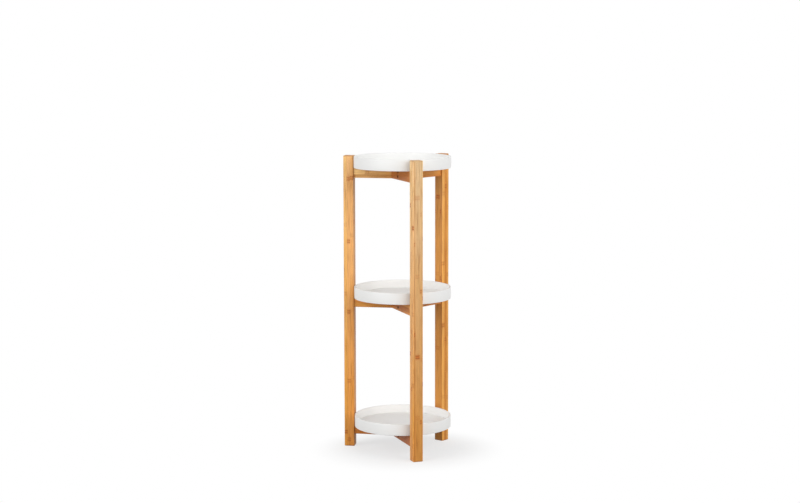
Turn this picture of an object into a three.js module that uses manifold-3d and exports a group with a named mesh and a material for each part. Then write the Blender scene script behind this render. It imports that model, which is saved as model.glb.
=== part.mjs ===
// Plant stand with three tiers. Three square legs carry, at each tier, a pinwheel of three bars:
// the inner end of each bar butts against the side of the next one and is screwed to it, and its
// outer end is dowelled into a leg. A loose round tray with an upright rim lies on each pinwheel.
// Millimetres, +Z up. The origin is the middle of the footprint, at floor level.

import * as THREE from 'three';
import { mergeVertices } from 'three/addons/utils/BufferGeometryUtils.js';
import Module from 'manifold-3d';

const wasm = await Module();
wasm.setup();

// Clearance between two pieces that meet
const FIT = 0.3;

// Legs
const LEG_SIDE = 27;
const LEG_EDGE_RADIUS = 2.5;
const LEG_END_CHAMFER = 2;

// Bars. The inner face of each bar passes the stand's axis at CENTRE_GAP.
const BAR_HEIGHT = 29;
const BAR_THICKNESS = 18;
const BAR_EDGE_RADIUS = 1.5;
const CENTRE_GAP = 5.5;

// Tiers, from the lowest up
const TIER_NAMES = ['bottom', 'middle', 'top'];
const FLOOR_CLEARANCE = 33;
const TIER_SPACING = 344;

// Trays
const TRAY_RADIUS = 127.5;
const TRAY_HEIGHT = 30;
const TRAY_TO_LEG = 4.5;
const RIM_WALL = 4;
const RIM_TOP_ROUND = 1.5;
const RIM_BOTTOM_ROUND = 1.5;
const BOARD_THICKNESS = 9;

// Screws, two in each butt joint
const SCREW_LENGTH = 40;
const SCREW_TIP_LENGTH = 5;
const SCREW_RADIUS = 2;
const SCREW_HEAD_RADIUS = 3.6;
const SCREW_HEAD_HEIGHT = 2.2;
const SCREW_HEAD_EDGE = 0.6;
const SCREW_COVER = 0.5;
const SCREW_SPACING = 12;

// Dowels, two in each joint between a bar and a leg
const DOWEL_RADIUS = 4;
const DOWEL_LENGTH = 30;
const DOWEL_CHAMFER = 1;
const DOWEL_SPACING = 14;

// Fineness of round shapes
const TRAY_SEGMENTS = 64;
const SMALL_SEGMENTS = 12;
const CORNER_STEPS = 2;

// How far a cutter runs past the wood it cuts
const OVERRUN = 1;

// The arms of the pinwheel, one at each leg, counted anticlockwise from the front
const ARM_NAMES = ['front', 'right', 'left'];
const ARM_STEP = 2 * Math.PI / ARM_NAMES.length;
const FRONT_ANGLE = -Math.PI / 2;

// In an arm's own frame the bar runs along +X. Its middle plane lies at y = -BAR_OFFSET.
const BAR_OFFSET = CENTRE_GAP + BAR_THICKNESS / 2;
const BAR_OUTER_FACE = CENTRE_GAP + BAR_THICKNESS;
const LEG_RADIUS = TRAY_RADIUS + TRAY_TO_LEG + LEG_SIDE / 2;
const LEG_FACE = LEG_RADIUS - LEG_SIDE / 2;
const LEG_LENGTH = barBottom(TIER_NAMES.length - 1) + BAR_HEIGHT + TRAY_HEIGHT;

// The neighbour that a bar butts against, clockwise of it, has its faces square to this direction
const NEIGHBOUR_NORMAL = -(ARM_STEP + Math.PI / 2);

// The screw's head stands behind the neighbour's far face, which it meets at a slant
const SLANT = Math.tan(ARM_STEP - Math.PI / 2);
const SCREW_ENTRY = crossing(BAR_OUTER_FACE, -BAR_OFFSET);
const SCREW_HEAD_TOP = SCREW_ENTRY + SCREW_COVER + SCREW_HEAD_RADIUS * SLANT;

function barBottom(tier) {
  return FLOOR_CLEARANCE + tier * TIER_SPACING;
}

function barMiddle(tier) {
  return barBottom(tier) + BAR_HEIGHT / 2;
}

// Where a line along the arm, at the given y, meets a face of the neighbour bar
function crossing(faceDistance, y) {
  return (faceDistance - y * Math.sin(NEIGHBOUR_NORMAL)) / Math.cos(NEIGHBOUR_NORMAL);
}

function finish(color, roughness, metalness) {
  return new THREE.MeshStandardMaterial({ color, roughness, metalness });
}

function bamboo() {
  return finish(0xd8a868, 0.5, 0);
}

function whitePaint() {
  return finish(0xf1f1ef, 0.45, 0);
}

function darkSteel() {
  return finish(0x4a4038, 0.4, 0.9);
}

function beech() {
  return finish(0xd9bd93, 0.7, 0);
}

function piece(name, geometry, material) {
  const mesh = new THREE.Mesh(geometry, material);
  mesh.name = name;
  return mesh;
}

// Solids for cutting, and back

function toSolid(geometry) {
  const bare = geometry.clone();
  bare.deleteAttribute('normal');
  bare.deleteAttribute('uv');
  const welded = mergeVertices(bare);
  const vertProperties = new Float32Array(welded.attributes.position.array);
  const triVerts = new Uint32Array(welded.index.array);
  return new wasm.Manifold(new wasm.Mesh({ numProp: 3, vertProperties, triVerts }));
}

function toGeometry(solid) {
  const { vertProperties, triVerts } = solid.getMesh();
  const indexed = new THREE.BufferGeometry();
  indexed.setAttribute('position', new THREE.BufferAttribute(vertProperties, 3));
  indexed.setIndex(new THREE.BufferAttribute(triVerts, 1));
  const geometry = indexed.toNonIndexed();
  geometry.computeVertexNormals();
  return geometry;
}

function cut(blank, cutters) {
  const solid = cutters.reduce((left, cutter) => left.subtract(toSolid(cutter)), toSolid(blank));
  return toGeometry(solid);
}

// Basic forms

function roundedRectangle(width, height, radius) {
  const x = width / 2;
  const y = height / 2;
  const shape = new THREE.Shape();
  shape.moveTo(x, y - radius);
  shape.absarc(x - radius, y - radius, radius, 0, Math.PI / 2);
  shape.absarc(radius - x, y - radius, radius, Math.PI / 2, Math.PI);
  shape.absarc(radius - x, radius - y, radius, Math.PI, 1.5 * Math.PI);
  shape.absarc(x - radius, radius - y, radius, 1.5 * Math.PI, 2 * Math.PI);
  return shape;
}

// A rod along +X between two values of x
function rod(radius, start, end) {
  const geometry = new THREE.CylinderGeometry(radius, radius, end - start, SMALL_SEGMENTS);
  return geometry.rotateZ(-Math.PI / 2).translate((start + end) / 2, 0, 0);
}

// A turned form: points of [radius, height], turned about the Z axis
function turned(points, segments) {
  const profile = points.map(([radius, height]) => new THREE.Vector2(radius, height));
  return new THREE.LatheGeometry(profile, segments).rotateX(Math.PI / 2);
}

// The points of a rounded corner, a quarter turn anticlockwise from the start angle
function roundedCorner(x, y, radius, startAngle) {
  return Array.from({ length: CORNER_STEPS + 1 }, (unused, step) => {
    const angle = startAngle + step / CORNER_STEPS * Math.PI / 2;
    return [x + radius * Math.cos(angle), y + radius * Math.sin(angle)];
  });
}

// The two places, above and below the middle, where screws or dowels sit
function pair(spacing) {
  return [
    { name: 'upper', height: spacing / 2 },
    { name: 'lower', height: -spacing / 2 },
  ];
}

// Legs. The frame of a leg has its origin at the foot, on the leg's middle line.

function legBlank() {
  const section = roundedRectangle(LEG_SIDE, LEG_SIDE, LEG_EDGE_RADIUS);
  const geometry = new THREE.ExtrudeGeometry(section, {
    depth: LEG_LENGTH - 2 * LEG_END_CHAMFER,
    curveSegments: CORNER_STEPS,
    bevelThickness: LEG_END_CHAMFER,
    bevelSize: LEG_END_CHAMFER,
    bevelOffset: -LEG_END_CHAMFER,
    bevelSegments: 1,
  });
  return geometry.translate(0, 0, LEG_END_CHAMFER);
}

function legGeometry() {
  const innerFace = -LEG_SIDE / 2;
  const holeEnd = innerFace - FIT / 2 + DOWEL_LENGTH / 2 + FIT;
  const holes = TIER_NAMES.flatMap((name, tier) => pair(DOWEL_SPACING).map(({ height }) => {
    const hole = rod(DOWEL_RADIUS + FIT, innerFace - OVERRUN, holeEnd);
    return hole.translate(0, 0, barMiddle(tier) + height);
  }));
  return cut(legBlank(), holes);
}

function leg(armName) {
  const mesh = piece(`leg_${armName}`, legGeometry(), bamboo());
  mesh.position.set(LEG_RADIUS, -BAR_OFFSET, 0);
  return mesh;
}

// Bars, in the frame of their arm, with z measured from the bar's middle

function barBlank() {
  const start = crossing(CENTRE_GAP, -BAR_OUTER_FACE) - OVERRUN;
  const end = LEG_FACE - FIT;
  const section = roundedRectangle(BAR_THICKNESS, BAR_HEIGHT, BAR_EDGE_RADIUS);
  const geometry = new THREE.ExtrudeGeometry(section, {
    depth: end - start,
    curveSegments: CORNER_STEPS,
    bevelEnabled: false,
  });
  const alongX = new THREE.Matrix4().makeBasis(
    new THREE.Vector3(0, 1, 0),
    new THREE.Vector3(0, 0, 1),
    new THREE.Vector3(1, 0, 0),
  );
  return geometry.applyMatrix4(alongX).translate(start, -BAR_OFFSET, 0);
}

// The space of the neighbour bar, which cuts the mitre at the inner end
function mitreCutter() {
  const depth = 2 * BAR_OUTER_FACE;
  const geometry = new THREE.BoxGeometry(depth, 2 * depth, BAR_HEIGHT + 2 * OVERRUN);
  return geometry.translate(CENTRE_GAP - FIT + depth / 2, 0, 0).rotateZ(NEIGHBOUR_NORMAL);
}

// The hole and the counterbore of one screw, which runs along the bar that it holds
function screwCutters(height) {
  const boreRadius = SCREW_HEAD_RADIUS + FIT;
  const headSeat = SCREW_HEAD_TOP + SCREW_HEAD_HEIGHT;
  const mouth = SCREW_ENTRY - boreRadius * SLANT - OVERRUN;
  const hole = rod(SCREW_RADIUS + FIT, mouth, headSeat + SCREW_LENGTH + FIT);
  const bore = rod(boreRadius, mouth, headSeat + FIT);
  return [hole, bore].map((cutter) => cutter.translate(0, -BAR_OFFSET, height));
}

function dowelCutter(height) {
  const end = LEG_FACE + OVERRUN;
  const start = LEG_FACE - FIT / 2 - DOWEL_LENGTH / 2 - FIT;
  return rod(DOWEL_RADIUS + FIT, start, end).translate(0, -BAR_OFFSET, height);
}

// A bar has the holes of its own screws at its inner end, and across it those of the next bar's
function barGeometry() {
  const own = pair(SCREW_SPACING).flatMap(({ height }) => screwCutters(height));
  const across = own.map((cutter) => cutter.clone().rotateZ(ARM_STEP));
  const dowelHoles = pair(DOWEL_SPACING).map(({ height }) => dowelCutter(height));
  return cut(barBlank(), [mitreCutter(), ...own, ...across, ...dowelHoles]);
}

function bar(tierName, armName) {
  return piece(`bar_${tierName}_${armName}`, barGeometry(), bamboo());
}

// Fasteners, along +X

function screwGeometry() {
  const tipStart = SCREW_HEAD_HEIGHT + SCREW_LENGTH - SCREW_TIP_LENGTH;
  const profile = [
    [0, 0],
    [SCREW_HEAD_RADIUS - SCREW_HEAD_EDGE, 0],
    [SCREW_HEAD_RADIUS, SCREW_HEAD_EDGE],
    [SCREW_HEAD_RADIUS, SCREW_HEAD_HEIGHT],
    [SCREW_RADIUS, SCREW_HEAD_HEIGHT],
    [SCREW_RADIUS, tipStart],
    [0, tipStart + SCREW_TIP_LENGTH],
  ];
  return turned(profile, SMALL_SEGMENTS).rotateY(Math.PI / 2);
}

function screw(tierName, armName, place) {
  const name = `screw_${tierName}_${armName}_${place.name}`;
  const mesh = piece(name, screwGeometry(), darkSteel());
  mesh.position.set(SCREW_HEAD_TOP, -BAR_OFFSET, place.height);
  return mesh;
}

function dowelGeometry() {
  const profile = [
    [0, 0],
    [DOWEL_RADIUS - DOWEL_CHAMFER, 0],
    [DOWEL_RADIUS, DOWEL_CHAMFER],
    [DOWEL_RADIUS, DOWEL_LENGTH - DOWEL_CHAMFER],
    [DOWEL_RADIUS - DOWEL_CHAMFER, DOWEL_LENGTH],
    [0, DOWEL_LENGTH],
  ];
  return turned(profile, SMALL_SEGMENTS).rotateY(Math.PI / 2);
}

function dowel(tierName, armName, place) {
  const name = `dowel_${tierName}_${armName}_${place.name}`;
  const mesh = piece(name, dowelGeometry(), beech());
  mesh.position.set(LEG_FACE - FIT / 2 - DOWEL_LENGTH / 2, -BAR_OFFSET, place.height);
  return mesh;
}

// One arm of one tier: the bar with its screws and dowels
function arm(tierName, tier, armName) {
  const group = new THREE.Group();
  group.add(bar(tierName, armName));
  group.add(...pair(SCREW_SPACING).map((place) => screw(tierName, armName, place)));
  group.add(...pair(DOWEL_SPACING).map((place) => dowel(tierName, armName, place)));
  group.position.z = barMiddle(tier);
  return group;
}

// One leg with its three arms, turned to its place
function side(armName, index) {
  const group = new THREE.Group();
  group.add(leg(armName));
  group.add(...TIER_NAMES.map((tierName, tier) => arm(tierName, tier, armName)));
  group.rotation.z = FRONT_ANGLE + index * ARM_STEP;
  return group;
}

// Trays: a bent rim band round a flat board, with their undersides flush

function rimGeometry() {
  const inner = TRAY_RADIUS - RIM_WALL;
  const profile = [
    [inner, 0],
    ...roundedCorner(TRAY_RADIUS - RIM_BOTTOM_ROUND, RIM_BOTTOM_ROUND, RIM_BOTTOM_ROUND, -Math.PI / 2),
    ...roundedCorner(TRAY_RADIUS - RIM_TOP_ROUND, TRAY_HEIGHT - RIM_TOP_ROUND, RIM_TOP_ROUND, 0),
    ...roundedCorner(inner + RIM_TOP_ROUND, TRAY_HEIGHT - RIM_TOP_ROUND, RIM_TOP_ROUND, Math.PI / 2),
    [inner, 0],
  ];
  return turned(profile, TRAY_SEGMENTS);
}

function boardGeometry() {
  const radius = TRAY_RADIUS - RIM_WALL - FIT;
  return turned([[0, 0], [radius, 0], [radius, BOARD_THICKNESS], [0, BOARD_THICKNESS]], TRAY_SEGMENTS);
}

function tray(tierName, tier) {
  const group = new THREE.Group();
  group.add(piece(`tray_${tierName}_board`, boardGeometry(), whitePaint()));
  group.add(piece(`tray_${tierName}_rim`, rimGeometry(), whitePaint()));
  group.position.z = barBottom(tier) + BAR_HEIGHT + FIT;
  return group;
}

const stand = new THREE.Group();
stand.add(...ARM_NAMES.map(side));
stand.add(...TIER_NAMES.map(tray));

// Put the middle of the footprint on the origin
const footprint = new THREE.Box3().setFromObject(stand, true).getCenter(new THREE.Vector3());
stand.position.set(-footprint.x, -footprint.y, 0);

export default stand;
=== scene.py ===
"""Plant stand of laminated bamboo with three loose white trays, dressed for rendering.

Metres, +Z up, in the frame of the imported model. Places and sizes are read from that model, so a
piece made here lies where its node lies. An arm is one leg with the bars that end in it. In an
arm's own frame +X runs outwards along the bars, from the middle of the stand.
"""
import math

import bmesh
import bpy
from mathutils import Matrix, Vector


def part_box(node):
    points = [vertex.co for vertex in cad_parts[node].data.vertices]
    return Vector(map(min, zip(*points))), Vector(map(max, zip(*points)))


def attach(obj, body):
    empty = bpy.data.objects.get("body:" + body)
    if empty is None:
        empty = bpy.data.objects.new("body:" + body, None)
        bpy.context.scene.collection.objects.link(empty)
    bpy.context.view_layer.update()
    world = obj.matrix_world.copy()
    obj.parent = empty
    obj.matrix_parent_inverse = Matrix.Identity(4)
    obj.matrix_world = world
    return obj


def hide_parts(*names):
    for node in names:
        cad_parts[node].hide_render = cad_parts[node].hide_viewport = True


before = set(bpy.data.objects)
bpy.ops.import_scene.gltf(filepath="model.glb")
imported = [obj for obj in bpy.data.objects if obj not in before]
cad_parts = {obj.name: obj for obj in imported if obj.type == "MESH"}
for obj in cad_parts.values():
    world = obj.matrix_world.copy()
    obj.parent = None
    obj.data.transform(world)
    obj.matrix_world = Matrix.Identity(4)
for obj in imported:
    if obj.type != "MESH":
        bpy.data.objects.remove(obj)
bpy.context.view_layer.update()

MM = 0.001
QUARTER_TURN = math.pi / 2
TIERS = ("bottom", "middle", "top")
ARMS = ("front", "right", "left")
PLACES = ("upper", "lower")
ARM_STEP = 2 * math.pi / len(ARMS)
FRONT_ANGLE = -QUARTER_TURN

# Finishing sizes that the frame doesn't hold
GLUE_LINE = 0.05 * MM
HOLE_PLAY = 0.3 * MM
LEG_EDGE_ROUND = 2.5 * MM
LEG_END_ROUND = 2.0 * MM
BAR_EDGE_ROUND = 1.5 * MM
RIM_ROUND = 1.5 * MM
BOARD_ROUND = 0.5 * MM

# How finely curved forms are divided, and how meshes are joined and shaded
CORNER_STEPS = 5
LEG_END_STEPS = 4
BORE_SEGMENTS = 32
TRAY_SEGMENTS = 192
WELD_REACH = 0.001 * MM
SMOOTH_ANGLE = math.radians(32)

# The camera, its place and heading seen from the stand's axis
CAMERA_HEADING = math.radians(-19.6)
CAMERA_DISTANCE = 4.775
CAMERA_HEIGHT = 1.1335
CAMERA_PITCH = math.radians(7.216)
CAMERA_ROLL = math.radians(0.087)
CAMERA_YAW = math.radians(0.069)
CAMERA_LENS = 82.3
CAMERA_SENSOR = 36.0
CAMERA_REACH = 100.0


# ---------------------------------------------------------------- places, from the frame


def middle(node):
    low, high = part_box(node)
    return (low + high) / 2


def stand_axis():
    """The upright line that the three arms are turned about."""
    total = sum((middle(f"leg_{arm}") for arm in ARMS), Vector())
    return Vector((total.x / len(ARMS), total.y / len(ARMS), 0))


AXIS = stand_axis()


def arm_heading(arm):
    """The angle about +Z of an arm's own +X."""
    return FRONT_ANGLE + ARMS.index(arm) * ARM_STEP


def arm_place(arm):
    """The matrix from an arm's own frame to the stand's."""
    return Matrix.Translation(AXIS) @ Matrix.Rotation(arm_heading(arm), 4, "Z")


def box_in_arm(node):
    """The corners of a front arm's node, in the arm's own frame."""
    back = arm_place("front").inverted()
    ends = [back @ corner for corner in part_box(node)]
    low = Vector([min(pair) for pair in zip(*ends)])
    high = Vector([max(pair) for pair in zip(*ends)])
    return low, high


LEG_LOW, LEG_HIGH = box_in_arm("leg_front")
BAR_LOW, BAR_HIGH = box_in_arm("bar_top_front")
SCREW_LOW, SCREW_HIGH = box_in_arm("screw_top_front_upper")
DOWEL_LOW, DOWEL_HIGH = box_in_arm("dowel_top_front_upper")
LEG_MIDDLE = (LEG_LOW + LEG_HIGH) / 2
LEG_SIZE = LEG_HIGH - LEG_LOW
BAR_SIZE = BAR_HIGH - BAR_LOW
BAR_OFFSET = -(BAR_LOW.y + BAR_HIGH.y) / 2
SCREW_RADIUS = (SCREW_HIGH.z - SCREW_LOW.z) / 2
SCREW_LENGTH = SCREW_HIGH.x - SCREW_LOW.x
DOWEL_RADIUS = (DOWEL_HIGH.z - DOWEL_LOW.z) / 2
DOWEL_LENGTH = DOWEL_HIGH.x - DOWEL_LOW.x

# The way that the mitred end faces, and how far a bar's side slants against its neighbour's
MITRE_FACING = -(ARM_STEP + QUARTER_TURN)
SLANT = math.tan(ARM_STEP - QUARTER_TURN)


def bar_height(tier):
    return middle(f"bar_{tier}_front").z


def pair_heights(kind):
    """How far above a bar's middle its upper and lower screws or dowels lie."""
    return [middle(f"{kind}_top_front_{place}").z - bar_height("top") for place in PLACES]


# ---------------------------------------------------------------- node trees


class Signal:
    """A node's output, on which sums are written as Python expressions."""

    def __init__(self, nodes, socket):
        self.nodes = nodes
        self.socket = socket

    def _math(self, operation, *values):
        inputs = dict(enumerate(values))
        return self.nodes.node("ShaderNodeMath", {"operation": operation}, inputs)

    def __add__(self, other):
        return self._math("ADD", self, other)

    __radd__ = __add__

    def __sub__(self, other):
        return self._math("SUBTRACT", self, other)

    def __rsub__(self, other):
        return self._math("SUBTRACT", other, self)

    def __mul__(self, other):
        return self._math("MULTIPLY", self, other)

    __rmul__ = __mul__

    def __truediv__(self, other):
        return self._math("DIVIDE", self, other)

    def __abs__(self):
        return self._math("ABSOLUTE", self)

    def floor(self):
        return self._math("FLOOR", self)

    def fraction(self):
        return self._math("FRACT", self)

    def most(self, other):
        return self._math("MAXIMUM", self, other)

    def rise(self, start, end):
        """0 below start, 1 above end, and a smooth step between them."""
        settings = {"interpolation_type": "SMOOTHSTEP"}
        return self.nodes.node("ShaderNodeMapRange", settings, {0: self, 1: start, 2: end})

    def split(self):
        """The three numbers of a vector."""
        made = self.nodes.make("ShaderNodeSeparateXYZ", {}, {0: self})
        return [Signal(self.nodes, socket) for socket in made.outputs]

    def times(self, factor):
        """A vector or colour with its length or brightness multiplied."""
        inputs = {0: self, "Scale": factor}
        return self.nodes.node("ShaderNodeVectorMath", {"operation": "SCALE"}, inputs)

    def stretched(self, x, y, z):
        """A vector with each of its numbers multiplied."""
        inputs = {0: self, 1: (x, y, z)}
        return self.nodes.node("ShaderNodeVectorMath", {"operation": "MULTIPLY"}, inputs)


class Nodes:
    """A node tree, and the one method that makes its nodes."""

    def __init__(self, tree):
        self.tree = tree

    def make(self, kind, settings=None, inputs=None):
        """A node with its settings, then its sockets: a value, a signal or a list of signals."""
        made = self.tree.nodes.new(kind)
        for name, value in (settings or {}).items():
            if name == "stops":
                set_stops(made.color_ramp, value)
            else:
                setattr(made, name, value)
        for key, value in (inputs or {}).items():
            items = value if isinstance(value, list) else [value]
            for item in items:
                if isinstance(item, Signal):
                    self.tree.links.new(item.socket, made.inputs[key])
                else:
                    made.inputs[key].default_value = item
        return made

    def node(self, kind, settings=None, inputs=None, output=0):
        """The signal of a new node's output."""
        return Signal(self, self.make(kind, settings, inputs).outputs[output])

    def vector(self, x, y, z):
        return self.node("ShaderNodeCombineXYZ", {}, {0: x, 1: y, 2: z})

    def noise(self, place, detail, scale=1.0):
        inputs = {"Vector": place, "Scale": scale, "Detail": detail}
        return self.node("ShaderNodeTexNoise", {}, inputs)

    def luck(self, place, output="Value"):
        """White noise, which is the same all over a cell whose place is the same."""
        return self.node("ShaderNodeTexWhiteNoise", {}, {"Vector": place}, output)

    def attribute(self, name, output="Fac"):
        return self.node("ShaderNodeAttribute", {"attribute_name": name}, {}, output)

    def object_place(self):
        return self.node("ShaderNodeTexCoord", {}, {}, "Object")

    def mix(self, factor, first, second):
        """A colour between two colours."""
        inputs = {0: factor, 6: first, 7: second}
        return self.node("ShaderNodeMix", {"data_type": "RGBA"}, inputs, 2)

    def multiply(self, first, second):
        """One colour seen through another."""
        settings = {"data_type": "RGBA", "blend_type": "MULTIPLY"}
        return self.node("ShaderNodeMix", settings, {0: 1.0, 6: first, 7: second}, 2)

    def ramp(self, factor, stops):
        return self.node("ShaderNodeValToRGB", {"stops": stops}, {0: factor})

    def bump(self, height, distance, strength):
        inputs = {"Height": height, "Distance": distance, "Strength": strength}
        return self.node("ShaderNodeBump", {}, inputs)


def set_stops(ramp, stops):
    """Gives a colour ramp its (place, colour) stops."""
    while len(ramp.elements) < len(stops):
        ramp.elements.new(1.0)
    for element, (place, colour) in zip(ramp.elements, stops):
        element.position = place
        element.color = colour


def new_material(name):
    material = bpy.data.materials.new(name)
    material.use_nodes = True
    material.node_tree.nodes.clear()
    return material, Nodes(material.node_tree)


def finish_material(nodes, inputs):
    """Ends a material's tree in a Principled surface with these sockets."""
    surface = nodes.node("ShaderNodeBsdfPrincipled", {}, inputs)
    nodes.make("ShaderNodeOutputMaterial", {}, {"Surface": surface})


def srgb(red, green, blue):
    """A colour of 0 to 255 values as a linear one."""
    def linear(value):
        share = value / 255
        return share / 12.92 if share <= 0.04045 else ((share + 0.055) / 1.055) ** 2.4
    return linear(red), linear(green), linear(blue), 1.0


# ---------------------------------------------------------------- bamboo

# Lengths in the wood are in millimetres. A pair is where a mark starts and where it is full. Seams
# and sides are given in shares of a strip or a layer from its middle, and corners and ends in
# shares of the piece's half size.
STRIP_WIDTH = 9.0
STRIP_SWAY = 1.4
STRIP_SEAM = (0.455, 0.5)
STRIP_SIDE = (0.44, 0.5)
STRIP_TURNED = (0.49, 0.51)
LAYER_DEPTH = 9.0
LAYER_SEAM = (0.475, 0.5)
KNUCKLE_PITCH = 185.0
KNUCKLE_STRAY = 60.0
KNUCKLE_WOBBLE = 4.0
KNUCKLE_PATCH = (3.0, 9.0)
KNUCKLE_RIDGE = 3.2
RIDGE_SIDE = (0.3, 1.5)
FAINTEST_KNUCKLE = 0.15
FIBRE_LEAN = 3.5
LEAN_REACH = 12.0
TINT_LENGTH = 120.0
TINT_DRIFT = 0.7
CORNER = (0.84, 1.0)
WOOD_END = (0.988, 1.0)

# How fast a pattern changes in each millimetre across a strip, into it and along it
FIBRE_SCALE = (1.7, 1.7, 0.03)
STREAK_SCALE = (0.32, 0.32, 0.018)
PORE_SCALE = (4.2, 4.2, 0.05)
WOBBLE_SCALE = (0.5, 0.5, 0.0)
WEAR_SCALE = (0.3, 0.3, 0.05)

# The levels of the noise at which a mark starts and is full. More pores show at the skin.
STREAK_LEVELS = (0.52, 0.8)
PORE_LEVELS = (0.64, 0.72)
PORE_SKIN_GAIN = 0.14
WEAR_LEVELS = (0.35, 0.7)

# Steps between the patterns of neighbouring strips and layers, so that none repeats the next
SHIFT_SEED = 3.0
SWAY_LAYER_STEP = 3.7
TINT_STRIP_STEP = 7.3
TINT_LAYER_STEP = 5.1
KNUCKLE_LAYER_STEP = 31

# The wood's brightness, and how much each thing changes it
WOOD_BRIGHTNESS = 1.07
FIBRE_SHADE = 0.45
SKIN_SHADE = 0.08
STREAK_SHADE = 0.5
PORE_SHADE = 0.24

# How strongly each mark colours the wood, from 0 to 1
STREAK_SHARE = 0.55
SEAM_SHARE = 0.4
PATCH_SHARE = 0.9
RIDGE_SHARE = 0.65
WEAR_SHARE = 0.35
END_SHARE = 0.45

# The relief's depth, and the share of it that each thing stands out or lies deeper
WOOD_RELIEF = 0.06 * MM
FIBRE_RELIEF = 0.5
PORE_RELIEF = 0.35
SEAM_RELIEF = 0.5
RIDGE_RELIEF = 0.6

WOOD_ROUGHNESS = 0.46
FIBRE_ROUGHNESS = 0.16
MARK_ROUGHNESS = 0.06

# The wood from deep to pale: the deep end is painted shade, the pale whitish end painted light and
# sheen, and the middle is the wood's own colour.
WOOD_TONES_SHADED_TO_LIT = (
    (0.0, srgb(198, 118, 46)),
    (0.5, srgb(242, 175, 88)),
    (1.0, srgb(255, 224, 172)),
)
STRIP_TINTS = (
    (0.0, srgb(255, 255, 250)),
    (0.3, srgb(252, 241, 206)),
    (0.52, srgb(250, 235, 224)),
    (0.76, srgb(234, 212, 180)),
    (1.0, srgb(210, 180, 134)),
)
STREAK_ORANGE = srgb(188, 106, 32)
KNUCKLE_ORANGE = srgb(196, 106, 34)
KNUCKLE_BROWN = srgb(126, 56, 18)
GLUE_BROWN = srgb(142, 80, 34)
WORN_STRAW = srgb(236, 190, 122)


class Strips:
    """Where a point lies among the strips of a stick, from the attributes grain and stick.

    grain is the place in the wood in millimetres, as across, depth and along. stick is a number of
    the piece.
    """

    def __init__(self, nodes):
        self.grain = nodes.attribute("grain", "Vector")
        self.stick = nodes.attribute("stick")
        self.across, self.depth, self.along = self.grain.split()
        self.layer_place = self.depth / LAYER_DEPTH + 0.5
        self.layer = self.layer_place.floor()
        widths = self.across / STRIP_WIDTH
        shift = nodes.luck(nodes.vector(self.layer, self.stick, SHIFT_SEED))
        sway_place = nodes.vector(widths, self.layer * SWAY_LAYER_STEP, self.stick)
        place = widths + shift + nodes.noise(sway_place, detail=0.0) * STRIP_SWAY
        self.strip = place.floor()
        self.share = place.fraction()
        dice = nodes.vector(self.strip, self.layer, self.stick)
        self.luck = nodes.luck(dice)
        self.phase, side, _ = nodes.luck(dice, "Color").split()
        # From 0 at the inside of the cane to 1 at its skin. Half of the strips are turned round.
        self.skin_side = abs(self.share - side.rise(*STRIP_TURNED))

    def seam(self):
        """1 on a glue line, between strips or between layers."""
        between = abs(self.share - 0.5).rise(*STRIP_SEAM)
        under = abs(self.layer_place.fraction() - 0.5).rise(*LAYER_SEAM)
        return between.most(under)


class Knuckles:
    """The cane's knuckles along each strip: a patch with two ridges, strong or faint."""

    def __init__(self, nodes, strips):
        wobble_noise = nodes.noise(strips.grain.stretched(*WOBBLE_SCALE), detail=1.0)
        wobble = (wobble_noise - 0.5) * KNUCKLE_WOBBLE
        turns = (strips.along + wobble) / KNUCKLE_PITCH + strips.phase
        row = strips.strip + strips.layer * KNUCKLE_LAYER_STEP
        dice = nodes.vector(row, turns.floor(), strips.stick)
        stray, strength, _ = nodes.luck(dice, "Color").split()
        offset = (stray - 0.5) * KNUCKLE_STRAY
        self.away = abs((turns.fraction() - 0.5) * KNUCKLE_PITCH + offset)
        self.patch = 1 - self.away.rise(*KNUCKLE_PATCH)
        self.ridge = 1 - abs(self.away - KNUCKLE_RIDGE).rise(*RIDGE_SIDE)
        inside = 1 - abs(strips.share - 0.5).rise(*STRIP_SIDE)
        gain = 1 - FAINTEST_KNUCKLE
        self.force = inside * (strength * strength * gain + FAINTEST_KNUCKLE)


class Fibres:
    """The lines along a strip, which lean to its middle at a knuckle."""

    def __init__(self, nodes, strips, away):
        lean = (strips.share - 0.5) * (1 - away.rise(0.0, LEAN_REACH)) * FIBRE_LEAN
        place = nodes.vector(strips.across + lean, strips.depth, strips.along)
        self.fine = nodes.noise(place.stretched(*FIBRE_SCALE), detail=3.0)
        self.streak = nodes.noise(place.stretched(*STREAK_SCALE), detail=2.0)
        start, full = PORE_LEVELS
        start = start - strips.skin_side * PORE_SKIN_GAIN
        self.pores = nodes.noise(place.stretched(*PORE_SCALE), detail=1.0).rise(start, full)


def strip_colour(nodes, strips, fibres):
    """The colour of each strip with its lines, from a tone with painted light and shade: -1 is
    deep, 1 is pale.
    """
    drift_place = nodes.vector(
        strips.strip * TINT_STRIP_STEP + strips.stick,
        strips.layer * TINT_LAYER_STEP,
        strips.along / TINT_LENGTH)
    drift = nodes.noise(drift_place, detail=1.0)
    tint = nodes.ramp(strips.luck + (drift - 0.5) * TINT_DRIFT, STRIP_TINTS)
    # Painted light and shade: the tone makes the legs paler towards their tops and the bars deeper
    # under the trays.
    tone = nodes.ramp(nodes.attribute("tone") * 0.5 + 0.5, WOOD_TONES_SHADED_TO_LIT)
    colour = nodes.multiply(tone, tint)
    fine = (fibres.fine - 0.5) * FIBRE_SHADE + WOOD_BRIGHTNESS
    colour = colour.times(fine - strips.skin_side * SKIN_SHADE)
    streaks = fibres.streak.rise(*STREAK_LEVELS) * STREAK_SHARE
    colour = nodes.mix(streaks, colour, STREAK_ORANGE)
    broad = (fibres.streak - 0.5) * -STREAK_SHADE + 1.0
    return colour.times(broad - fibres.pores * PORE_SHADE)


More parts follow.
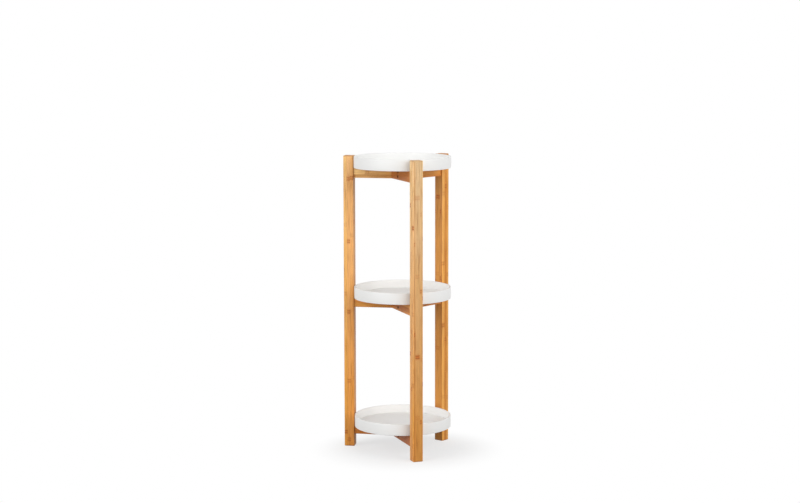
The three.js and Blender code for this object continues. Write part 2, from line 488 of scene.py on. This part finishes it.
def worn_colour(nodes, strips, colour):
    """The colour, paler along rubbed edges and darker at the ends.

    The attribute span is the place in the piece as shares of its half sizes.
    """
    across, depth, along = nodes.attribute("span", "Vector").split()
    corner = abs(across).rise(*CORNER) * abs(depth).rise(*CORNER)
    breakup = nodes.noise(strips.grain.stretched(*WEAR_SCALE), detail=3.0).rise(*WEAR_LEVELS)
    colour = nodes.mix(corner * breakup * WEAR_SHARE, colour, WORN_STRAW)
    return nodes.mix(abs(along).rise(*WOOD_END) * END_SHARE, colour, GLUE_BROWN)


def bamboo():
    """Strips glued side by side in layers, with fibres, knuckles and worn edges."""
    material, nodes = new_material("bamboo")
    strips = Strips(nodes)
    knuckles = Knuckles(nodes, strips)
    fibres = Fibres(nodes, strips, knuckles.away)
    seam = strips.seam()

    colour = strip_colour(nodes, strips, fibres)
    colour = nodes.mix(seam * SEAM_SHARE, colour, GLUE_BROWN)
    colour = nodes.mix(knuckles.patch * knuckles.force * PATCH_SHARE, colour, KNUCKLE_ORANGE)
    colour = nodes.mix(knuckles.ridge * knuckles.force * RIDGE_SHARE, colour, KNUCKLE_BROWN)
    colour = worn_colour(nodes, strips, colour)

    hollows = fibres.fine * FIBRE_RELIEF - fibres.pores * PORE_RELIEF - seam * SEAM_RELIEF
    height = hollows + knuckles.ridge * RIDGE_RELIEF
    roughness = WOOD_ROUGHNESS + (fibres.fine - 0.5) * FIBRE_ROUGHNESS
    roughness = roughness + fibres.pores * MARK_ROUGHNESS + knuckles.patch * MARK_ROUGHNESS
    finish_material(nodes, {
        "Base Color": colour,
        "Roughness": roughness,
        "Normal": nodes.bump(height, WOOD_RELIEF, strength=0.8),
        "Specular IOR Level": 0.3,
        "Coat Weight": 0.08,
        "Coat Roughness": 0.3,
    })
    return material


# ---------------------------------------------------------------- paint, steel and beech

PAINT_WHITE = srgb(244, 244, 243)
PAINT_CLOUD = srgb(238, 238, 235)
PAINT_RUBBED = srgb(226, 225, 220)
PAINT_PEEL = 0.02 * MM
STEEL_DARK = srgb(58, 48, 42)
STEEL_BROWN = srgb(92, 80, 70)
STEEL_WORN = srgb(140, 130, 120)
STEEL_GRIT = 0.02 * MM
BEECH_PALE = srgb(222, 190, 146)
BEECH_DEEP = srgb(200, 164, 118)
BEECH_FLECK = srgb(150, 108, 70)
BEECH_FIGURE = 0.05 * MM


def white_paint():
    """Satin white paint with a faint orange peel and a few rubbed places."""
    material, nodes = new_material("white_paint")
    place = nodes.object_place()
    cloud = nodes.noise(place, detail=3.0, scale=9.0)
    peel = nodes.noise(place, detail=2.0, scale=750.0)
    rubbed = nodes.noise(place.stretched(1, 1, 6), detail=4.0, scale=60.0).rise(0.55, 0.75)
    colour = nodes.mix(cloud * 0.5, PAINT_WHITE, PAINT_CLOUD)
    colour = nodes.mix(rubbed * 0.12, colour, PAINT_RUBBED)
    finish_material(nodes, {
        "Base Color": colour,
        "Roughness": 0.36 + cloud * 0.08 + rubbed * 0.1,
        "Normal": nodes.bump(peel, PAINT_PEEL, strength=0.6),
    })
    return material


def dark_steel():
    """Browned screw steel with turning marks and bright worn spots."""
    material, nodes = new_material("dark_steel")
    place = nodes.object_place()
    grit = nodes.noise(place, detail=4.0, scale=1600.0)
    worn = nodes.noise(place, detail=3.0, scale=420.0).rise(0.5, 0.72)
    colour = nodes.mix(grit, STEEL_DARK, STEEL_BROWN)
    colour = nodes.mix(worn * 0.5, colour, STEEL_WORN)
    finish_material(nodes, {
        "Base Color": colour,
        "Metallic": 1.0,
        "Roughness": 0.5 - worn * 0.18,
        "Normal": nodes.bump(grit, STEEL_GRIT, strength=0.5),
    })
    return material


def bare_beech():
    """Turned beech with short dark flecks."""
    material, nodes = new_material("bare_beech")
    place = nodes.object_place()
    figure = nodes.noise(place, detail=3.0, scale=260.0)
    flecks = nodes.noise(place, detail=1.0, scale=1500.0).rise(0.6, 0.7)
    colour = nodes.mix(figure, BEECH_PALE, BEECH_DEEP)
    colour = nodes.mix(flecks * 0.45, colour, BEECH_FLECK)
    finish_material(nodes, {
        "Base Color": colour,
        "Roughness": 0.7 + flecks * 0.1,
        "Normal": nodes.bump(figure, BEECH_FIGURE, strength=0.6),
    })
    return material


# ---------------------------------------------------------------- mesh forms


def rounded_rectangle(width, height, radius):
    """The outline's points, anticlockwise from the lower right corner."""
    points = []
    for quarter, (side_x, side_y) in enumerate(((1, -1), (1, 1), (-1, 1), (-1, -1))):
        centre_x = side_x * (width / 2 - radius)
        centre_y = side_y * (height / 2 - radius)
        for step in range(CORNER_STEPS + 1):
            angle = (quarter - 1 + step / CORNER_STEPS) * QUARTER_TURN
            x = centre_x + radius * math.cos(angle)
            y = centre_y + radius * math.sin(angle)
            points.append((x, y))
    return points


def join_rings(form, lower, upper):
    """Faces between two rings of vertices, either of which may be a single vertex."""
    count = max(len(lower), len(upper))
    for index in range(count):
        after = (index + 1) % count
        if len(lower) == 1:
            form.faces.new((lower[0], upper[after], upper[index]))
        elif len(upper) == 1:
            form.faces.new((lower[index], lower[after], upper[0]))
        else:
            form.faces.new((lower[index], lower[after], upper[after], upper[index]))


def skin(rings):
    """A closed form over rings of points, from the bottom up, capped where it ends in a ring."""
    form = bmesh.new()
    loops = [[form.verts.new(point) for point in ring] for ring in rings]
    for lower, upper in zip(loops, loops[1:]):
        join_rings(form, lower, upper)
    if len(loops[0]) > 1:
        form.faces.new(reversed(loops[0]))
    if len(loops[-1]) > 1:
        form.faces.new(loops[-1])
    return form


def turned(profile, segments, flute=None):
    """A form turned about Z through (radius, height) pairs. flute(angle) scales the radius."""
    rings = []
    for radius, height in profile:
        if radius == 0:
            rings.append([(0, 0, height)])
            continue
        ring = []
        for index in range(segments):
            angle = 2 * math.pi * index / segments
            reach = radius * (flute(angle) if flute else 1)
            ring.append((reach * math.cos(angle), reach * math.sin(angle), height))
        rings.append(ring)
    return skin(rings)


def to_mesh(form, name):
    bmesh.ops.recalc_face_normals(form, faces=form.faces)
    mesh = bpy.data.meshes.new(name)
    form.to_mesh(mesh)
    form.free()
    return mesh


def to_object(mesh, name):
    thing = bpy.data.objects.new(name, mesh)
    bpy.context.scene.collection.objects.link(thing)
    return thing


def evaluated_mesh(thing, name):
    """The plain mesh of an object with its modifiers applied. The object is removed."""
    graph = bpy.context.evaluated_depsgraph_get()
    graph.update()
    mesh = bpy.data.meshes.new_from_object(thing.evaluated_get(graph))
    mesh.name = name
    bpy.data.objects.remove(thing)
    return mesh


def weld(mesh):
    """Joins doubled points, and drops the faces without area that a cut leaves."""
    form = bmesh.new()
    form.from_mesh(mesh)
    bmesh.ops.remove_doubles(form, verts=form.verts, dist=WELD_REACH)
    bmesh.ops.dissolve_degenerate(form, dist=WELD_REACH, edges=form.edges)
    form.to_mesh(mesh)
    form.free()


def cut(mesh, cutters):
    """The mesh with each cutter's space taken out of it."""
    body = to_object(mesh, mesh.name)
    tools = [to_object(cutter, "cutter") for cutter in cutters]
    for tool in tools:
        change = body.modifiers.new("cut", "BOOLEAN")
        change.operation = "DIFFERENCE"
        change.solver = "EXACT"
        change.object = tool
    result = evaluated_mesh(body, mesh.name)
    for tool in tools:
        bpy.data.objects.remove(tool)
    weld(result)
    return result


def bore(profile, start, height, turn=0.0):
    """A turned cutter laid along an arm's bars, then turned about the stand's axis."""
    mesh = to_mesh(turned(profile, BORE_SEGMENTS), "bore")
    place = Matrix.Translation((start, -BAR_OFFSET, height))
    lay = place @ Matrix.Rotation(QUARTER_TURN, 4, "Y")
    mesh.transform(Matrix.Rotation(turn, 4, "Z") @ lay)
    return mesh


# ---------------------------------------------------------------- wood

# A number that starts each leg's own pattern, and its tone at the foot and the top, which is
# painted
# light and shade: the legs are paler towards the top, where more light falls. Tone runs from -1,
# deep, to 1, pale. A bar's tones are at the middle of the stand and at the leg, which is painted
# shade: a bar is mostly deeper at the middle, under its tray, and the bottom tier is the deepest.
# Between the two a tone changes slowly at first, and faster towards the second.
SHADING_CLIMB = 2.2
# Each leg's stick number, then its painted shade at the foot and painted light at the top.
LEG_LOOKS_AND_LIGHT = {"front": (17.0, -0.12, 1.0), "right": (9.0, -0.02, 0.05), "left": (147.0, -0.12, 0.6)}
# Each bar's tones at the middle of the stand and at the leg: painted shade, deeper under the trays
# and on the lower tiers.
BAR_TONES_AND_SHADE = {
    "bottom": {"front": (-1.0, -1.0), "right": (-0.7, -0.5), "left": (-1.0, -0.8)},
    "middle": {"front": (-0.8, -0.4), "right": (-0.7, -0.5), "left": (-0.8, -0.2)},
    "top": {"front": (-0.8, -0.6), "right": (-0.7, -0.5), "left": (0.2, 0.9)},
}
FIRST_BAR_STICK = 20.0


def write_attribute(mesh, name, kind, values):
    """Gives every vertex a number, or a vector, from a flat list."""
    layer = mesh.attributes.new(name, kind, "POINT")
    layer.data.foreach_set("vector" if kind == "FLOAT_VECTOR" else "value", values)


def mark_wood(mesh, to_wood, half_sizes, stick, tones_and_light):
    """Writes the attributes that the bamboo reads, for a mesh in the arm's frame."""
    grain = []
    span = []
    tone = []
    first, last = tones_and_light
    for vertex in mesh.vertices:
        place = to_wood @ vertex.co
        shares = [value / half for value, half in zip(place, half_sizes)]
        grain.extend(place / MM)
        span.extend(shares)
        # Painted light and shade: the tone goes from the first end's to the last end's along the
        # piece.
        climb = max(0.0, (shares[2] + 1) / 2) ** SHADING_CLIMB
        tone.append(first + (last - first) * climb)
    write_attribute(mesh, "grain", "FLOAT_VECTOR", grain)
    write_attribute(mesh, "span", "FLOAT_VECTOR", span)
    write_attribute(mesh, "stick", "FLOAT", [stick] * len(mesh.vertices))
    write_attribute(mesh, "tone", "FLOAT", tone)


def finish_piece(mesh, name, material, slot, body, *nodes):
    """Makes the mesh a piece that rides on a body and stands for these nodes."""
    mesh.shade_smooth()
    mesh.set_sharp_from_angle(angle=SMOOTH_ANGLE)
    mesh.materials.clear()
    mesh.materials.append(material)
    piece = to_object(mesh, name)
    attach(piece, body)
    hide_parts(*nodes)


def dowel_bore(start, end, height):
    """A blind hole for a dowel, between two distances from the stand's axis."""
    radius = DOWEL_RADIUS + HOLE_PLAY
    profile = [(0, 0), (radius, 0), (radius, end - start), (0, end - start)]
    return bore(profile, start, height)


def leg_form():
    """A square post with rounded edges and eased ends, its foot at the origin."""
    rings = []
    for end, direction in ((0.0, 1), (LEG_HIGH.z, -1)):
        ease = []
        for step in range(LEG_END_STEPS + 1):
            angle = step / LEG_END_STEPS * QUARTER_TURN
            inset = LEG_END_ROUND * (1 - math.sin(angle))
            height = end + direction * LEG_END_ROUND * (1 - math.cos(angle))
            outline = rounded_rectangle(
                LEG_SIZE.x - 2 * inset, LEG_SIZE.y - 2 * inset, LEG_EDGE_ROUND - inset)
            ease.append([(x, y, height) for x, y in outline])
        rings += ease if direction > 0 else reversed(ease)
    return skin(rings)


def make_leg(arm, wood):
    name = f"bamboo_leg_{arm}"
    mesh = to_mesh(leg_form(), name)
    mesh.transform(Matrix.Translation((LEG_MIDDLE.x, LEG_MIDDLE.y, 0)))
    start = LEG_LOW.x - LEG_EDGE_ROUND
    end = DOWEL_HIGH.x + HOLE_PLAY
    heights = [bar_height(tier) + height for tier in TIERS for height in pair_heights("dowel")]
    mesh = cut(mesh, [dowel_bore(start, end, height) for height in heights])
    # From the arm's frame to across, into and along the wood
    to_wood = Matrix((
        (0, 1, 0, -LEG_MIDDLE.y),
        (1, 0, 0, -LEG_MIDDLE.x),
        (0, 0, 1, -LEG_MIDDLE.z),
        (0, 0, 0, 1),
    ))
    half_sizes = (LEG_SIZE.y / 2, LEG_SIZE.x / 2, LEG_SIZE.z / 2)
    # Painted shade at the foot and painted light at the top of the leg.
    stick, foot_shade_tone, top_lit_tone = LEG_LOOKS_AND_LIGHT[arm]
    mark_wood(mesh, to_wood, half_sizes, stick, (foot_shade_tone, top_lit_tone))
    mesh.transform(arm_place(arm))
    finish_piece(mesh, name, wood, "bamboo", "frame", f"leg_{arm}")


def bar_blank():
    """The bar with square ends, past its mitre and up to the leg. z is from the bar's middle."""
    start = BAR_LOW.x - BAR_SIZE.y
    end = LEG_LOW.x - GLUE_LINE
    outline = rounded_rectangle(BAR_SIZE.y, BAR_SIZE.z, BAR_EDGE_ROUND)
    rings = [[(x, y - BAR_OFFSET, z) for y, z in outline] for x in (start, end)]
    return skin(rings)


def trim_mitre(form):
    """Cuts the inner end where it meets the side of the neighbour bar."""
    facing = Vector((math.cos(MITRE_FACING), math.sin(MITRE_FACING), 0))
    place = facing * (-BAR_HIGH.y - GLUE_LINE)
    trimmed = bmesh.ops.bisect_plane(
        form, geom=form.verts[:] + form.edges[:] + form.faces[:],
        plane_co=place, plane_no=facing, clear_outer=True)
    edges = [item for item in trimmed["geom_cut"] if isinstance(item, bmesh.types.BMEdge)]
    bmesh.ops.edgeloop_fill(form, edges=edges)
    return form


def screw_bore(height, turn):
    """The counterbore and hole of one screw, from outside the joint and into the bar it holds."""
    head_radius = SCREW_RADIUS + HOLE_PLAY
    shank_radius = SCREW_SHANK + HOLE_PLAY
    mouth = SCREW_LOW.x - head_radius * SLANT * 2 - SCREW_HEAD
    seat = SCREW_LOW.x + SCREW_HEAD + HOLE_PLAY - mouth
    end = SCREW_HIGH.x + HOLE_PLAY - mouth
    profile = [
        (0, 0),
        (head_radius, 0),
        (head_radius, seat),
        (shank_radius, seat),
        (shank_radius, end),
        (0, end),
    ]
    return bore(profile, mouth, height, turn)


def make_bar(tier, arm, wood, stick):
    """A bar, bored for its own screws, for those of its neighbour and for its dowels."""
    name = f"bamboo_bar_{tier}_{arm}"
    mesh = to_mesh(trim_mitre(bar_blank()), name)
    turns = (0, ARM_STEP)
    screws = [screw_bore(height, turn) for height in pair_heights("screw") for turn in turns]
    start = DOWEL_LOW.x - HOLE_PLAY
    end = LEG_LOW.x + BAR_EDGE_ROUND
    dowels = [dowel_bore(start, end, height) for height in pair_heights("dowel")]
    mesh = cut(mesh, screws + dowels)
    # From the arm's frame to across, into and along the wood
    to_wood = Matrix((
        (0, 0, 1, 0),
        (0, 1, 0, BAR_OFFSET),
        (1, 0, 0, -(BAR_LOW.x + LEG_LOW.x) / 2),
        (0, 0, 0, 1),
    ))
    half_sizes = (BAR_SIZE.z / 2, BAR_SIZE.y / 2, BAR_SIZE.x / 2)
    # Painted shade: the bar is deeper towards the middle of the stand, under its tray.
    mark_wood(mesh, to_wood, half_sizes, stick, BAR_TONES_AND_SHADE[tier][arm])
    mesh.transform(arm_place(arm) @ Matrix.Translation((0, 0, bar_height(tier))))
    finish_piece(mesh, name, wood, "bamboo", "frame", f"bar_{tier}_{arm}")


# ---------------------------------------------------------------- geometry node trees


class Growth(Nodes):
    """A geometry node tree with named inputs."""

    def __init__(self, name, sizes):
        super().__init__(bpy.data.node_groups.new(name, "GeometryNodeTree"))
        self.sizes = sizes
        interface = self.tree.interface
        interface.new_socket("Geometry", in_out="OUTPUT", socket_type="NodeSocketGeometry")
        self.add_input("Geometry", "NodeSocketGeometry")
        for size in sizes:
            self.add_input(size, "NodeSocketFloat")
        self.add_input("Material", "NodeSocketMaterial")
        self.inlet = self.make("NodeGroupInput")

    def add_input(self, name, kind):
        self.tree.interface.new_socket(name, in_out="INPUT", socket_type=kind)

    def given(self, name):
        return Signal(self, self.inlet.outputs[name])

    def finish(self, geometry):
        """Ends the tree in real geometry with its material set."""
        real = self.node("GeometryNodeRealizeInstances", {}, {0: geometry})
        dressed = self.node(
            "GeometryNodeSetMaterial", {}, {"Geometry": real, "Material": self.given("Material")})
        self.make("NodeGroupOutput", {}, {0: dressed})

    def grow(self, name, material, seed_mesh=None):
        """The plain mesh that the tree makes."""
        mesh = seed_mesh or bpy.data.meshes.new(name)
        thing = to_object(mesh, name)
        change = thing.modifiers.new(name, "NODES")
        change.node_group = self.tree
        values = dict(self.sizes, Material=material)
        for socket in self.tree.interface.items_tree:
            if socket.in_out == "INPUT" and socket.name in values:
                change[socket.identifier] = values[socket.name]
        return evaluated_mesh(thing, name)


# ---------------------------------------------------------------- trays

RIM_LOW, RIM_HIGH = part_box("tray_top_rim")
BOARD_LOW, BOARD_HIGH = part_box("tray_top_board")
TRAY_RADIUS = (RIM_HIGH.x - RIM_LOW.x) / 2
BOARD_RADIUS = (BOARD_HIGH.x - BOARD_LOW.x) / 2
RIM_HEIGHT = RIM_HIGH.z - RIM_LOW.z
RIM_WALL = TRAY_RADIUS - BOARD_RADIUS - HOLE_PLAY
BOARD_THICKNESS = BOARD_HIGH.z - BOARD_LOW.z


def rim_tree():
    """A rounded band swept round a circle."""
    tree = Growth("rim_band", {
        "Radius": TRAY_RADIUS - RIM_WALL / 2,
        "Wall": RIM_WALL,
        "Height": RIM_HEIGHT,
        "Rounding": RIM_ROUND,
    })
    circle = tree.node("GeometryNodeCurvePrimitiveCircle", {}, {
        "Resolution": TRAY_SEGMENTS,
        "Radius": tree.given("Radius"),
    })
    section = tree.node("GeometryNodeCurvePrimitiveQuadrilateral", {}, {
        "Width": tree.given("Wall"),
        "Height": tree.given("Height"),
    })
    rounded = tree.node("GeometryNodeFilletCurve", {"mode": "POLY"}, {
        "Curve": section,
        "Radius": tree.given("Rounding"),
        "Count": CORNER_STEPS,
        "Limit Radius": True,
    })
    band = tree.node("GeometryNodeCurveToMesh", {}, {"Curve": circle, "Profile Curve": rounded})
    tree.finish(band)
    return tree


def board_mesh(name):
    """A flat disc with softened edges."""
    flat = BOARD_RADIUS - BOARD_ROUND
    profile = [
        (0, 0),
        (flat, 0),
        (BOARD_RADIUS, BOARD_ROUND),
        (BOARD_RADIUS, BOARD_THICKNESS - BOARD_ROUND),
        (flat, BOARD_THICKNESS),
        (0, BOARD_THICKNESS),
    ]
    return to_mesh(turned(profile, TRAY_SEGMENTS), name)


def make_tray(tier, bands, paint):
    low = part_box(f"tray_{tier}_rim")[0].z
    rim = bands.grow(f"tray_rim_{tier}", paint)
    rim.transform(Matrix.Translation((AXIS.x, AXIS.y, low + RIM_HEIGHT / 2)))
    finish_piece(rim, f"tray_rim_{tier}", paint, "trays", f"tray_{tier}", f"tray_{tier}_rim")
    board = board_mesh(f"tray_board_{tier}")
    board.transform(Matrix.Translation((AXIS.x, AXIS.y, low)))
    finish_piece(board, f"tray_board_{tier}", paint, "trays", f"tray_{tier}", f"tray_{tier}_board")


# ---------------------------------------------------------------- screws and dowels

SCREW_SEGMENTS = 32
SCREW_HEAD = 2.2 * MM
SCREW_SHANK = 2.0 * MM
SCREW_CORE = 1.45 * MM
SCREW_POINT = 4 * MM
HEAD_DOME = 0.8 * MM
HEAD_EASE = 0.2 * MM
DOME_STEPS = 6
THREAD_TURNS = 12.0
THREAD_STEPS = 20
THREAD_LENGTH = 24 * MM
THREAD_START = 14 * MM
THREAD_TAPER = 1 * MM
THREAD_RIDGE = 0.35 * MM
THREAD_LIFT = 0.15 * MM
RECESS_DEPTH = 1.4 * MM
RECESS_WIDTH = 0.9 * MM
RECESS_REACH = 2.1 * MM
RECESS_ABOVE = 0.5 * MM
RECESS_TAPER = 0.45
DOWEL_CHAMFER = 1.0 * MM
FLUTE_COUNT = 16
FLUTE_STEPS = 6
FLUTE_DEPTH = 0.06


def dome_profile():
    """The screw head's low dome, from its top to its edge."""
    profile = [(0, 0)]
    for step in range(1, DOME_STEPS + 1):
        angle = step / DOME_STEPS * QUARTER_TURN
        profile.append((SCREW_RADIUS * math.sin(angle), HEAD_DOME * (1 - math.cos(angle))))
    return profile


def screw_body():
    """A screw with a low domed head, along +Z to its point. The head's top is at the origin."""
    profile = dome_profile() + [
        (SCREW_RADIUS, SCREW_HEAD - HEAD_EASE),
        (SCREW_RADIUS - HEAD_EASE, SCREW_HEAD),
        (SCREW_SHANK, SCREW_HEAD),
        (SCREW_SHANK, THREAD_START - THREAD_TAPER),
        (SCREW_CORE, THREAD_START),
        (SCREW_CORE, SCREW_LENGTH - SCREW_POINT),
        (0, SCREW_LENGTH),
    ]
    return to_mesh(turned(profile, SCREW_SEGMENTS), "screw_body")


def recess_cross():
    """The cutter of a cross recess with sloping ends."""
    half = RECESS_WIDTH / 2
    ends = ((-RECESS_ABOVE, RECESS_REACH), (RECESS_DEPTH, RECESS_REACH * RECESS_TAPER))
    rings = []
    for height, reach in ends:
        arm_end = [Vector((reach, -half, height)), Vector((reach, half, height))]
        inner_corner = Vector((half, half, height))
        ring = []
        for quarter in range(4):
            turn = Matrix.Rotation(quarter * QUARTER_TURN, 4, "Z")
            ring += [turn @ point for point in (*arm_end, inner_corner)]
        rings.append(ring)
    return to_mesh(skin(rings), "recess_cross")


def dowel_body():
    """A fluted dowel with chamfered ends, along +Z from the origin."""
    def flute(angle):
        return 1 - FLUTE_DEPTH * (0.5 - 0.5 * math.cos(FLUTE_COUNT * angle))
    tip_radius = DOWEL_RADIUS - DOWEL_CHAMFER
    profile = [
        (0, 0),
        (tip_radius, 0),
        (DOWEL_RADIUS, DOWEL_CHAMFER),
        (DOWEL_RADIUS, DOWEL_LENGTH - DOWEL_CHAMFER),
        (tip_radius, DOWEL_LENGTH),
        (0, DOWEL_LENGTH),
    ]
    return to_mesh(turned(profile, FLUTE_COUNT * FLUTE_STEPS, flute), "dowel_body")


def joint_points(kind, along):
    """A mesh of one vertex for each screw or dowel, with the heading of its arm."""
    mesh = bpy.data.meshes.new(f"{kind}_points")
    places = []
    headings = []
    for tier in TIERS:
        for arm in ARMS:
            place = arm_place(arm)
            for height in pair_heights(kind):
                places.append(place @ Vector((along, -BAR_OFFSET, bar_height(tier) + height)))
                headings.append(arm_heading(arm))
    mesh.from_pydata(places, [], [])
    write_attribute(mesh, "heading", "FLOAT", headings)
    return mesh


def repeat_tree(name, body, sizes, addition=None):
    """Copies a body, with what addition(tree) grows, to every point and lays it on its heading."""
    tree = Growth(name, sizes)
    parts = [tree.node("GeometryNodeObjectInfo", {}, {"Object": body}, "Geometry")]
    if addition:
        parts.append(addition(tree))
    copy = tree.node("GeometryNodeJoinGeometry", {}, {0: parts})
    heading = tree.node(
        "GeometryNodeInputNamedAttribute", {"data_type": "FLOAT"}, {"Name": "heading"})
    copies = tree.node("GeometryNodeInstanceOnPoints", {}, {
        "Points": tree.given("Geometry"),
        "Instance": copy,
        "Rotation": tree.vector(0.0, QUARTER_TURN, heading),
    })
    tree.finish(copies)
    return tree


def thread_band(tree):
    """A three-sided ridge wound round the screw's core."""
    spiral = tree.node("GeometryNodeCurveSpiral", {}, {
        "Resolution": THREAD_STEPS,
        "Rotations": THREAD_TURNS,
        "Start Radius": tree.given("Core"),
        "End Radius": tree.given("Core"),
        "Height": tree.given("Thread"),
    })
    ridge = tree.node("GeometryNodeCurvePrimitiveCircle", {}, {
        "Resolution": 3,
        "Radius": tree.given("Ridge"),
    })
    band = tree.node("GeometryNodeCurveToMesh", {}, {
        "Curve": spiral,
        "Profile Curve": ridge,
        "Fill Caps": True,
    })
    shift = tree.vector(0.0, 0.0, tree.given("Start"))
    return tree.node("GeometryNodeTransform", {}, {"Geometry": band, "Translation": shift})


def node_names(kind):
    return [f"{kind}_{tier}_{arm}_{place}" for tier in TIERS for arm in ARMS for place in PLACES]


def make_screws(steel):
    template = to_object(cut(screw_body(), [recess_cross()]), "screw_template")
    sizes = {
        "Core": SCREW_CORE + THREAD_LIFT,
        "Ridge": THREAD_RIDGE,
        "Thread": THREAD_LENGTH,
        "Start": THREAD_START,
    }
    tree = repeat_tree("screws", template, sizes, thread_band)
    mesh = tree.grow("screws", steel, joint_points("screw", SCREW_LOW.x))
    bpy.data.objects.remove(template)
    finish_piece(mesh, "screws", steel, "screws", "frame", *node_names("screw"))


def make_dowels(beech):
    template = to_object(dowel_body(), "dowel_template")
    tree = repeat_tree("dowels", template, {})
    mesh = tree.grow("dowels", beech, joint_points("dowel", DOWEL_LOW.x))
    bpy.data.objects.remove(template)
    finish_piece(mesh, "dowels", beech, "dowels", "frame", *node_names("dowel"))


# ---------------------------------------------------------------- the stand


def make_stand():
    wood = bamboo()
    paint = white_paint()
    for arm in ARMS:
        make_leg(arm, wood)
    for row, tier in enumerate(TIERS):
        for column, arm in enumerate(ARMS):
            make_bar(tier, arm, wood, FIRST_BAR_STICK + row * len(ARMS) + column)
    bands = rim_tree()
    for tier in TIERS:
        make_tray(tier, bands, paint)
    make_screws(dark_steel())
    make_dowels(bare_beech())


# ---------------------------------------------------------------- studio

# The floor's colour as it is seen and as it lights the stand, how white it glows to the camera
# under the stand, and between which distances from the middle that rises to full white
FLOOR_SIZE = 60.0
FLOOR_SEEN = (0.85, 0.865, 0.88, 1.0)
FLOOR_BOUNCE = (0.4, 0.4, 0.4, 1.0)
FLOOR_GLOW = 0.65
SHADOW_REACH = (0.12, 0.27)

AMBIENT = 0.35
LAMP_DISTANCE = 4.5
LAMP_SIZE = 3.6

# For each softbox, degrees to the right of the camera, degrees above the floor, and watts
SOFTBOXES = {"overhead": (0, 78, 14), "left": (-55, 20, 118), "right": (48, 20, 128)}


def seen_directly(nodes):
    """1 for rays that come from the camera, a reflection or a see-through surface."""
    path = nodes.make("ShaderNodeLightPath")
    camera, glossy, through = (
        Signal(nodes, path.outputs[name])
        for name in ("Is Camera Ray", "Is Glossy Ray", "Is Transmission Ray"))
    return nodes.node("ShaderNodeMath", {"operation": "ADD", "use_clamp": True}, {
        0: camera + glossy, 1: through})


def make_world():
    """A white backdrop to the camera, and a weaker soft light on the stand."""
    world = bpy.data.worlds.new("studio")
    world.use_nodes = True
    world.node_tree.nodes.clear()
    nodes = Nodes(world.node_tree)
    strength = AMBIENT + seen_directly(nodes) * (1.0 - AMBIENT)
    glow = nodes.node("ShaderNodeBackground", {}, {"Color": (1, 1, 1, 1), "Strength": strength})
    nodes.make("ShaderNodeOutputWorld", {}, {"Surface": glow})
    bpy.context.scene.world = world


def make_floor():
    """A pale floor that keeps the stand's shadow and is white elsewhere to the camera."""
    form = bmesh.new()
    bmesh.ops.create_grid(form, x_segments=1, y_segments=1, size=FLOOR_SIZE / 2)
    floor = to_object(to_mesh(form, "floor"), "floor")
    material, nodes = new_material("floor_white")
    seen = seen_directly(nodes)
    colour = nodes.mix(seen, FLOOR_BOUNCE, FLOOR_SEEN)
    matt = nodes.node("ShaderNodeBsdfDiffuse", {}, {"Color": colour})
    glow = nodes.node("ShaderNodeEmission", {}, {"Strength": 1.0})
    place = nodes.object_place()
    distance = nodes.node("ShaderNodeVectorMath", {"operation": "LENGTH"}, {0: place}, "Value")
    share = distance.rise(*SHADOW_REACH) * (1.0 - FLOOR_GLOW) + FLOOR_GLOW
    surface = nodes.node("ShaderNodeMixShader", {}, {0: seen * share, 1: matt, 2: glow})
    nodes.make("ShaderNodeOutputMaterial", {}, {"Surface": surface})
    floor.data.materials.append(material)


def add_softbox(name, turn, lift, power):
    """A square lamp that looks at the stand's middle."""
    heading = Matrix.Rotation(CAMERA_HEADING + math.radians(turn), 3, "Z")
    outwards = heading @ Vector((0, -math.cos(math.radians(lift)), math.sin(math.radians(lift))))
    data = bpy.data.lights.new(name, "AREA")
    data.shape = "SQUARE"
    data.size = LAMP_SIZE
    data.energy = power
    lamp = bpy.data.objects.new(name, data)
    bpy.context.scene.collection.objects.link(lamp)
    lamp.location = Vector((AXIS.x, AXIS.y, LEG_HIGH.z / 2)) + outwards * LAMP_DISTANCE
    lamp.rotation_euler = (-outwards).to_track_quat("-Z", "Y").to_euler()


def make_lamps():
    for name, (turn, lift, power) in SOFTBOXES.items():
        add_softbox(name, turn, lift, power)


def make_camera():
    data = bpy.data.cameras.new("camera")
    data.lens = CAMERA_LENS
    data.sensor_width = CAMERA_SENSOR
    data.clip_end = CAMERA_REACH
    camera = bpy.data.objects.new("camera", data)
    bpy.context.scene.collection.objects.link(camera)
    back = Matrix.Rotation(CAMERA_HEADING, 3, "Z") @ Vector((0, -CAMERA_DISTANCE, 0))
    camera.location = AXIS + back + Vector((0, 0, CAMERA_HEIGHT))
    camera.rotation_euler = (
        QUARTER_TURN - CAMERA_PITCH, CAMERA_ROLL, CAMERA_HEADING + CAMERA_YAW)
    bpy.context.scene.camera = camera


make_camera()
make_world()
make_floor()
make_lamps()
make_stand()
bpy.context.scene.view_settings.view_transform = "Standard"
